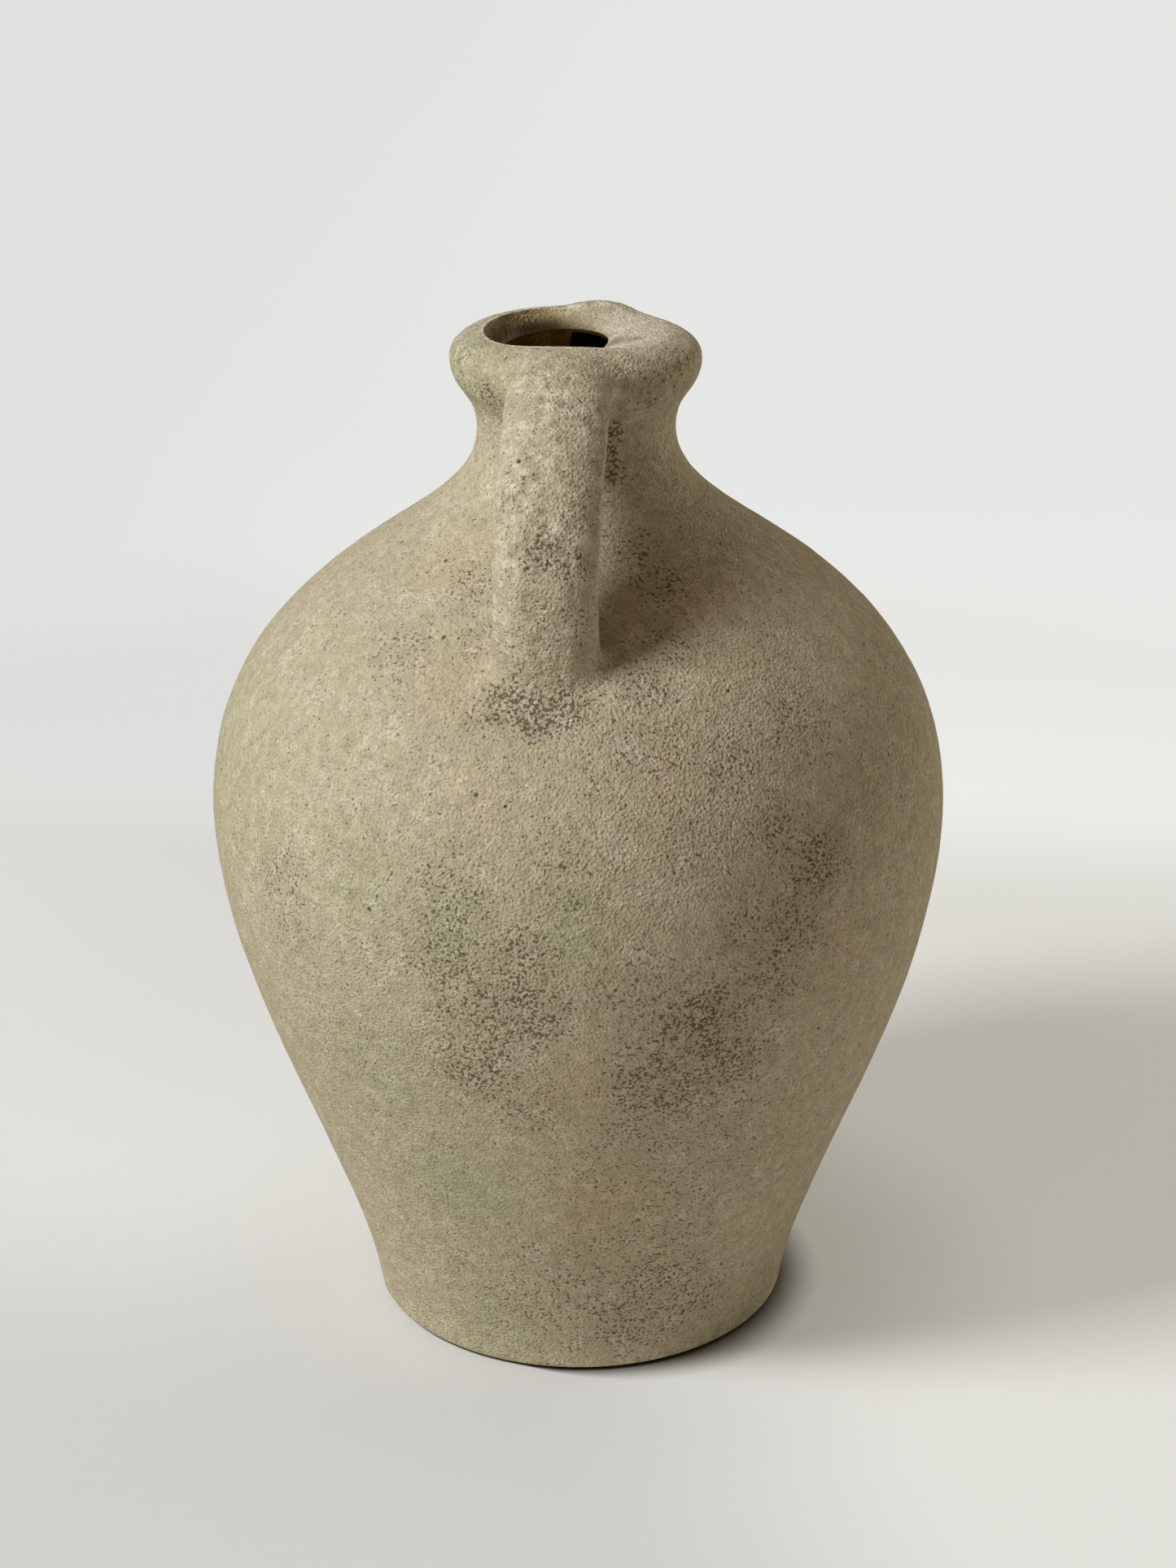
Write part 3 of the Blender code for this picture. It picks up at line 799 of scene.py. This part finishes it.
def make_base(coat, clay, hollow_shade):
    """Foot with a flat underside, its floor, and the start of the wall."""
    edge_centre = float(outline.radius_at(FOOT_EDGE_RISE)) - FOOT_EDGE_INSET
    rows = [plain_row(edge_centre * share, 0.0) for share in UNDERSIDE_SHARES]
    underside = len(rows)
    for step in range(1, FOOT_EDGE_STEPS):
        turn = step * math.pi / 2 / FOOT_EDGE_STEPS
        rows.append(plain_row(edge_centre + FOOT_EDGE_INSET * math.sin(turn),
                              FOOT_EDGE_RISE * (1 - math.cos(turn))))
    rows += outer_rows(FOOT_EDGE_RISE, BASE_SEAM, ROW_STEP)
    outside = len(rows) - 1
    rows += inner_rows(BASE_SEAM, FLOOR + FLOOR_ROUNDING, FOOT_INNER_ROWS)
    corner = outline.inner_radius(FLOOR + FLOOR_ROUNDING)
    for step in range(1, FLOOR_CORNER_STEPS + 1):
        turn = step * math.pi / 2 / FLOOR_CORNER_STEPS
        rows.append(plain_row(corner - FLOOR_ROUNDING * (1 - math.cos(turn)),
                              FLOOR + FLOOR_ROUNDING * (1 - math.sin(turn))))
    slots = [1 if row < underside else 0 if row < outside else 2 for row in range(len(rows))]
    piece = mesh_from_rows("foot_piece", rows, False, [coat, clay, hollow_shade], slots)
    dress(piece, "base")


def make_wall(name, node, seam_below, seam_above, step, coat, hollow_shade):
    """Ring of wall between two seams."""
    rows = outer_rows(seam_below, seam_above, step)
    outside = len(rows) - 1
    rows += inner_rows(seam_above, seam_below, INNER_ROWS)
    slots = [0 if row < outside else 1 for row in range(len(rows))]
    piece = mesh_from_rows(name, rows, True, [coat, hollow_shade], slots)
    dress(piece, node)


def make_rim(coat, clay, hollow_shade):
    """Rolled lip, and the funnel that dips to the throat: steep on the left, gentle on the right.

    Under the throat a wall goes down on the left, and on the right a thin ledge overhangs the bore."""
    rows = outer_rows(RIM_SEAM, LIP_LEVEL, FINE_ROW_STEP)
    lift = lip_lift(ANGLES)
    cosine, sine = np.cos(ANGLES), np.sin(ANGLES)
    blunt = (np.abs(cosine) ** THROAT_POWER + np.abs(sine) ** THROAT_POWER) ** (-1 / THROAT_POWER)
    throat_edge = THROAT_RADIUS * np.where(cosine > 0.0, blunt, 1.0)
    gentle = smooth(*GENTLE_RANGE, np.cos(ANGLES - GENTLE_TURN))[:, None, None]
    pulls = STEEP_FUNNEL + (GENTLE_FUNNEL - STEEP_FUNNEL) * gentle
    depth = THROAT_DEPTH + THROAT_TILT * smooth(*TILT_RANGE, cosine)
    for share in np.linspace(0.0, 1.0, FUNNEL_ROWS)[1:]:
        rest = 1.0 - share
        first, second, third = 3 * rest ** 2 * share, 3 * rest * share ** 2, share ** 3
        inset, drop = (first * pulls[:, 0] + second * pulls[:, 1] + third).T
        row = plain_row(LIP_RADIUS - inset * (LIP_RADIUS - throat_edge), LIP_LEVEL - drop * depth,
                        np.outer(THROAT_SHIFT, inset))
        row[:, 2] += lift * rest ** FUNNEL_LIFT_POWER
        row[:, 2] += relief(row) * rest
        rows.append(row)
    mouth = len(rows) - 1
    ledge = smooth(LEDGE_TURN + LEDGE_FADE, LEDGE_TURN, np.abs(turn_between(ANGLES, 0.0)))
    bottom = LIP_LEVEL - depth - THROAT_WALL + (THROAT_WALL - THROAT_LEDGE) * ledge
    bore = outline.inner_radius(RIM_SEAM)
    rows.append(plain_row(throat_edge, bottom, THROAT_SHIFT))
    throat = len(rows) - 1
    rows.append(plain_row(bore, bottom - LEDGE_BEVEL))
    rows.append(plain_row(bore, RIM_SEAM))
    slots = [0 if row < mouth else 1 if row < throat else 2 for row in range(len(rows))]
    piece = mesh_from_rows("rim_piece", rows, True, [coat, clay, hollow_shade], slots)
    dress(piece, "rim")


def strap_path(seat_rise):
    """Middle line of a strap in (radius, level), its lengths, and its unit direction."""
    seat = (RIM_RADIUS - HANDLE_BITE, RIM_LEVEL + seat_rise)
    ear = (EAR_REACH - STRAP_HALF_THICKNESS - STRAP_CROWN, EAR_LEVEL)
    root = (float(outline.radius_at(ROOT_LEVEL)) - HANDLE_BITE, ROOT_LEVEL - HANDLE_BITE)
    out, down, drop = ear[0] - seat[0], seat[1] - ear[1], ear[1] - root[1]
    bend = [seat, (seat[0] + out * SEAT_PULL, seat[1] - down * SEAT_DIP),
            (ear[0], ear[1] + down * EAR_PULL), ear]
    fall = [ear, (ear[0], ear[1] - drop * FALL_PULL),
            (root[0] + (ear[0] - root[0]) * ROOT_LEAN, root[1] + drop * ROOT_PULL), root]
    shares = np.linspace(0.0, 1.0, PATH_STEPS)
    line = np.concatenate([bezier(bend, shares), bezier(fall, shares)[1:]])
    length = np.concatenate([[0.0], np.cumsum(np.hypot(*np.diff(line, axis=0).T))])
    along = np.gradient(line, length, axis=0)
    along /= np.hypot(*along.T)[:, None]
    return line, length, along


def strap_section():
    """Closed smooth section of the strap as (across, proud), evenly spaced round its edge."""
    half = np.array(STRAP_SECTION) * MM
    knots = np.concatenate([half * (-1.0, 1.0), half[1:-1][::-1]])
    before, after, beyond = (np.roll(knots, step, axis=0) for step in (1, -1, -2))
    points = []
    for t in np.linspace(0.0, 1.0, SECTION_STEPS, endpoint=False):
        points.append(0.5 * (2 * knots + (after - before) * t
                             + (2 * before - 5 * knots + 4 * after - beyond) * t ** 2
                             + (3 * knots - before - 3 * after + beyond) * t ** 3))
    run = np.array(points).transpose(1, 0, 2).reshape(-1, 2)
    run = np.vstack([run, run[:1]])
    length = np.concatenate([[0.0], np.cumsum(np.hypot(*np.diff(run, axis=0).T))])
    even = np.linspace(0.0, length[-1], STRAP_SIDES, endpoint=False)
    return np.stack([np.interp(even, length, run[:, axis]) for axis in (0, 1)], axis=-1)


def nearest_on_vessel(places):
    """Distance of places from the vessel's even form, below nought inside it, and its normal there."""
    angle = np.arctan2(places[..., 1], places[..., 0])
    level = places[..., 2] - lip_lift(angle) * lift_share(places[..., 2])
    flat = np.stack([np.hypot(places[..., 0], places[..., 1]), level], axis=-1)
    near_handles = outline.level > ROOT_LEVEL - ROOT_SEARCH
    run = np.stack([outline.radius, outline.level], axis=-1)[near_handles]
    normals = np.stack([outline.normal_out, outline.normal_up], axis=-1)[near_handles]
    pick = np.array([np.argmin(np.sum((row[:, None] - run) ** 2, axis=-1), axis=-1) for row in flat])
    normal = normals[pick]
    distance = np.sum((flat - run[pick]) * normal, axis=-1)
    out, up = normal[..., 0], normal[..., 1]
    return distance, np.stack([out * np.cos(angle), out * np.sin(angle), up], axis=-1)


def row_normals(grid):
    """Outward normals of a grid of rows that close round."""
    round_step = np.roll(grid, -1, axis=1) - np.roll(grid, 1, axis=1)
    normal = np.cross(round_step, np.gradient(grid, axis=0))
    return normal / np.maximum(np.linalg.norm(normal, axis=2), TINY)[..., None]


def filleted(grid, radius):
    """Strap spread outwards along the vessel where it comes close, as a round fillet does."""
    distance, vessel_normal = nearest_on_vessel(grid)
    normal = row_normals(grid)
    along = np.sum(normal * vessel_normal, axis=-1)[..., None]
    gap = np.clip(1.0 - distance / radius, 0.0, FILLET_LIMIT)
    spread = radius * (1.0 - np.sqrt(1.0 - gap ** 2))
    return grid + (normal - along * vessel_normal) * spread[..., None]


def make_handle(name, node, direction, seat_rise, coat):
    """Strap handle, filleted to the rim and the shoulder."""
    line, length, along = strap_path(seat_rise)
    section = strap_section()
    end = length[-1]
    rows_at = np.concatenate([np.linspace(0.0, END_STRETCH, END_ROWS, endpoint=False),
                              np.linspace(END_STRETCH, end - END_STRETCH, STRAP_ROWS, endpoint=False),
                              np.linspace(end - END_STRETCH, end, END_ROWS)])
    middle = np.stack([np.interp(rows_at, length, line[:, axis]) for axis in (0, 1)], axis=-1)
    slope = np.stack([np.interp(rows_at, length, along[:, axis]) for axis in (0, 1)], axis=-1)
    run = rows_at / end
    spread = ROOT_SPREAD * np.maximum(0.0, 1 - (1 - run) / END_SHARE) ** 2
    across = section[None, :, 0] * (1.0 + spread[:, None] / section[:, 0].max())
    proud = section[None, :, 1] * (1.0 + spread[:, None] / (2 * STRAP_HALF_THICKNESS))
    radius = middle[:, :1] - slope[:, 1:] * proud
    level = middle[:, 1:] + slope[:, :1] * proud
    out = np.array((math.cos(direction), math.sin(direction)))
    side = np.array((-out[1], out[0]))
    flat = radius[..., None] * out + across[..., None] * side
    grid = np.concatenate([flat, level[..., None]], axis=2)
    fillet = SEAT_FILLET + (ROOT_FILLET - SEAT_FILLET) * smooth(*FILLET_CHANGE, run)[:, None]
    grid = filleted(grid, fillet)
    grid = coated(grid, row_normals(grid), RELIEF_LAYERS + CRUST_LAYERS)
    piece = mesh_from_rows(name, list(grid), False, [coat])
    dress(piece, node)


def seen_plainly(tree):
    """One for rays that show a thing as it looks, nought for the light it passes on."""
    rays = tree.add("LightPath").outputs
    mirrored = tree.math("MAXIMUM", rays["Is Glossy Ray"], rays["Is Transmission Ray"])
    return tree.math("MAXIMUM", rays["Is Camera Ray"], mirrored)


# Floor: the colour that passes light on, and those in which the camera sees it, in front, left and right:
# darker in front as painted shade, lighter on the right as painted light
FLOOR_COLOUR = (0.83, 0.815, 0.775, 1.0)
FLOOR_SEEN_FRONT = (0.70, 0.72, 0.735, 1.0)
FLOOR_SEEN_LEFT = (0.84, 0.865, 0.875, 1.0)
FLOOR_SEEN_RIGHT = (0.95, 0.985, 1.0, 1.0)
# Floor: the tone towards which the camera sees it lifted, by place: darker in front and at the far left as
# painted shade, lighter on the right as painted light
FLOOR_FRONT_TONE = (0.73, 0.74, 0.715, 1.0)
FLOOR_LEFT_TONE = (0.86, 0.875, 0.84, 1.0)
FLOOR_RIGHT_TONE = (0.91, 0.925, 0.875, 1.0)
FLOOR_FAR_TONE = (0.79, 0.80, 0.78, 1.0)
FLOOR_FAR_LEFT_TONE = (0.745, 0.760, 0.738, 1.0)
# Floor: where one colour or tone fades to the next
FLOOR_LEAN = 0.35
RIGHT_SIDE = (-30 * MM, 70 * MM)
PAST_FRONT = (-65 * MM, 45 * MM)
LEFT_BACK = (120 * MM, 300 * MM)
FAR_ACROSS = (-300 * MM, -50 * MM)
FAR_BACK = (100 * MM, 600 * MM)
# Floor: the shadow under the foot's edge, which reaches further on the right
CONTACT_COLOUR = (0.06, 0.05, 0.04, 1.0)
CONTACT_ACROSS = (-10 * MM, 40 * MM)
CONTACT_REACH = (0.5 * MM, 9.0 * MM)
CONTACT_POWER = 2.0
CONTACT_SAMPLES = 8
# Floor: how far the camera sees it lifted to that tone, at the foot, further out and behind; least at the
# foot, as painted shade
FLOOR_LIFT_AT_FOOT = 0.22
FLOOR_LIFT = 0.37
FLOOR_LIFT_BEHIND = 0.85
LIFT_AT_FOOT_RANGE = (FOOT_RADIUS - 1.0 * MM, FOOT_RADIUS + 9.0 * MM)
LIFT_RANGE = (45 * MM, 100 * MM)
LIFT_OUTER_RANGE = (160 * MM, 500 * MM)
LIFT_BEHIND_RANGE = (130 * MM, 270 * MM)
FLOOR_HALF = 6.0


def make_floor():
    """Pale floor with a painted tight shadow under the foot's edge, painted darker in front and lighter on
    the right.

    The camera sees it lifted towards a tone that varies by place, less so in the vase's shadow near the
    foot."""
    material = bpy.data.materials.new("pale_floor")
    tree = Tree(material)
    place = tree.add("TexCoord").outputs["Object"]
    axes = tree.add("SeparateXYZ", Vector=place)
    away = tree.add("VectorMath", {"operation": "LENGTH"}, i0=place).outputs["Value"]
    seen = seen_plainly(tree)
    across, back = axes.outputs["X"], axes.outputs["Y"]
    lean = tree.math("ADD", across, tree.math("MULTIPLY", back, FLOOR_LEAN))
    side = tree.ramp(lean, *RIGHT_SIDE)
    past_front = tree.ramp(back, *PAST_FRONT)
    reach = tree.ramp(across, *CONTACT_ACROSS, *CONTACT_REACH)
    tight = tree.add("AmbientOcclusion", {"samples": CONTACT_SAMPLES}, Distance=reach).outputs["AO"]
    # Seen colour: painted shade in front, painted light on the right, and the contact shadow painted from
    # occlusion
    seen_left = tree.mix(past_front, FLOOR_SEEN_FRONT, FLOOR_SEEN_LEFT)
    seen_colour = tree.mix(side, seen_left, FLOOR_SEEN_RIGHT)
    seen_colour = tree.mix(tree.math("POWER", tight, CONTACT_POWER), CONTACT_COLOUR, seen_colour)
    shader = tree.add("BsdfDiffuse", Color=tree.mix(seen, FLOOR_COLOUR, seen_colour))
    # Glow tone: painted shade in front and at the far left, painted light on the right
    left = tree.mix(past_front, FLOOR_FRONT_TONE, FLOOR_LEFT_TONE)
    left = tree.mix(tree.ramp(back, *LEFT_BACK), left, FLOOR_FAR_LEFT_TONE)
    near = tree.mix(side, left, FLOOR_RIGHT_TONE)
    far = tree.mix(tree.ramp(across, *FAR_ACROSS), FLOOR_FAR_LEFT_TONE, FLOOR_FAR_TONE)
    glow = tree.mix(tree.ramp(back, *FAR_BACK), near, far)
    lifted = tree.add("Emission", Color=glow, Strength=1.0)
    close = tree.ramp(away, *LIFT_AT_FOOT_RANGE, end=FLOOR_LIFT_AT_FOOT)
    middle = tree.ramp(away, *LIFT_RANGE, end=FLOOR_LIFT - FLOOR_LIFT_AT_FOOT)
    outer = tree.ramp(away, *LIFT_OUTER_RANGE, end=1.0 - FLOOR_LIFT)
    behind = tree.ramp(back, *LIFT_BEHIND_RANGE, end=FLOOR_LIFT_BEHIND)
    share = tree.math("ADD", close, tree.math("ADD", middle, outer))
    share = tree.math("MULTIPLY", seen, tree.math("MAXIMUM", share, behind))
    both = tree.add("MixShader", i0=share, i1=shader.outputs[0], i2=lifted.outputs[0])
    surface_output(tree, both)
    corners = [(-1, -1), (1, -1), (1, 1), (-1, 1)]
    mesh = bpy.data.meshes.new("floor")
    mesh.from_pydata([(x * FLOOR_HALF, y * FLOOR_HALF, 0.0) for x, y in corners], [], [(0, 1, 2, 3)])
    mesh.materials.append(material)
    floor = bpy.data.objects.new("floor", mesh)
    bpy.context.scene.collection.objects.link(floor)


# Camera: turned off the front handle, looking down at the vase
CAMERA_TURN = math.radians(6.5)
CAMERA_DISTANCE = 0.6274
CAMERA_HEIGHT = 0.3650
CAMERA_PITCH = math.radians(22.32)
CAMERA_YAW = math.radians(0.178)
CAMERA_ROLL = math.radians(-0.281)
CAMERA_LENS = 80.07


def make_camera():
    """Camera at the viewing angle, with its own small yaw and roll."""
    ahead = Vector((math.sin(CAMERA_YAW) * math.cos(CAMERA_PITCH),
                    math.cos(CAMERA_YAW) * math.cos(CAMERA_PITCH), -math.sin(CAMERA_PITCH)))
    right = Vector((math.cos(CAMERA_YAW), -math.sin(CAMERA_YAW), 0.0))
    up = right.cross(ahead)
    roll_right = right * math.cos(CAMERA_ROLL) + up * math.sin(CAMERA_ROLL)
    roll_up = up * math.cos(CAMERA_ROLL) - right * math.sin(CAMERA_ROLL)
    axes = Matrix((roll_right, roll_up, -ahead)).transposed().to_4x4()
    place = Matrix.Translation((0.0, -CAMERA_DISTANCE, CAMERA_HEIGHT))
    camera = bpy.data.objects.new("camera", bpy.data.cameras.new("camera"))
    camera.data.lens = CAMERA_LENS
    camera.matrix_world = Matrix.Rotation(CAMERA_TURN, 4, "Z") @ place @ axes
    bpy.context.scene.collection.objects.link(camera)
    bpy.context.scene.camera = camera


# Light: a window on the left, a weaker one nearer the camera, a warm bounce from the right, and a dim room
AIM = Vector((0.0, 0.0, 0.09))
WINDOW_WHITE = (1.0, 0.985, 0.970)
FAR_WINDOW_WHITE = (1.0, 0.97, 0.95)
BOUNCE_WARM = (1.0, 0.92, 0.81)
ROOM_GLOW = (0.130, 0.090, 0.052, 1.0)


def make_lamp(name, turn, height, distance, size, level, colour):
    """Square soft lamp, turned left from the camera's side, aimed at the vase.

    level is how bright a white surface facing it looks."""
    lamp = bpy.data.lights.new(name, "AREA")
    lamp.size = size
    lamp.color = colour
    lamp.energy = level * (math.pi * distance) ** 2
    bearing = FRONT_ANGLE + CAMERA_TURN - math.radians(turn)
    lift = math.radians(height)
    flat = math.cos(lift)
    towards = Vector((math.cos(bearing) * flat, math.sin(bearing) * flat, math.sin(lift)))
    holder = bpy.data.objects.new(name, lamp)
    holder.location = AIM + towards * distance
    holder.rotation_euler = towards.to_track_quat("Z", "Y").to_euler()
    bpy.context.scene.collection.objects.link(holder)


def make_world():
    """Dim warm room; the camera sees a pale wall."""
    world = bpy.data.worlds.new("room")
    bpy.context.scene.world = world
    tree = Tree(world)
    colour = tree.mix(seen_plainly(tree), ROOM_GLOW, FLOOR_FAR_TONE)
    background = tree.add("Background", Color=colour, Strength=1.0)
    output = tree.add("OutputWorld")
    tree.links.new(background.outputs[0], output.inputs["Surface"])


coat = make_coat("sandy_coat")
clay = make_clay("bare_clay", CLAY, CLAY_DARK)
# Painted shade in the throat, lighter on its left as painted bounce light
throat_shade = make_clay("throat_shade", THROAT_SHADE_BROWN, THROAT_SHADE_DARK, THROAT_LEFT_BOUNCE)
# Painted shade: near-black inside the vase
hollow_shade = make_clay("hollow_painted_shade", HOLLOW_SHADE_BROWN, HOLLOW_SHADE_DARK)
make_base(coat, clay, hollow_shade)
make_wall("lower_body_piece", "lower_body", BASE_SEAM, BELLY_LEVEL, ROW_STEP, coat, hollow_shade)
make_wall("shoulder_piece", "shoulder", BELLY_LEVEL, NECK_SEAM, ROW_STEP, coat, hollow_shade)
make_wall("neck_piece", "neck", NECK_SEAM, RIM_SEAM, FINE_ROW_STEP, coat, hollow_shade)
make_rim(coat, throat_shade, hollow_shade)
make_handle("front_handle_piece", "front_handle", FRONT_ANGLE, FRONT_SEAT_RISE, coat)
make_handle("back_handle_piece", "back_handle", BACK_ANGLE, BACK_SEAT_RISE, coat)
make_floor()
make_camera()
make_lamp("window", turn=63.5, height=43.0, distance=1.3, size=0.35, level=0.85, colour=WINDOW_WHITE)
make_lamp("far_window", turn=40.0, height=45.0, distance=1.8, size=0.9, level=0.04, colour=FAR_WINDOW_WHITE)
make_lamp("room_bounce", turn=-122.0, height=4.0, distance=1.5, size=0.9, level=0.41, colour=BOUNCE_WARM)
make_world()

bpy.context.scene.view_settings.view_transform = "Standard"
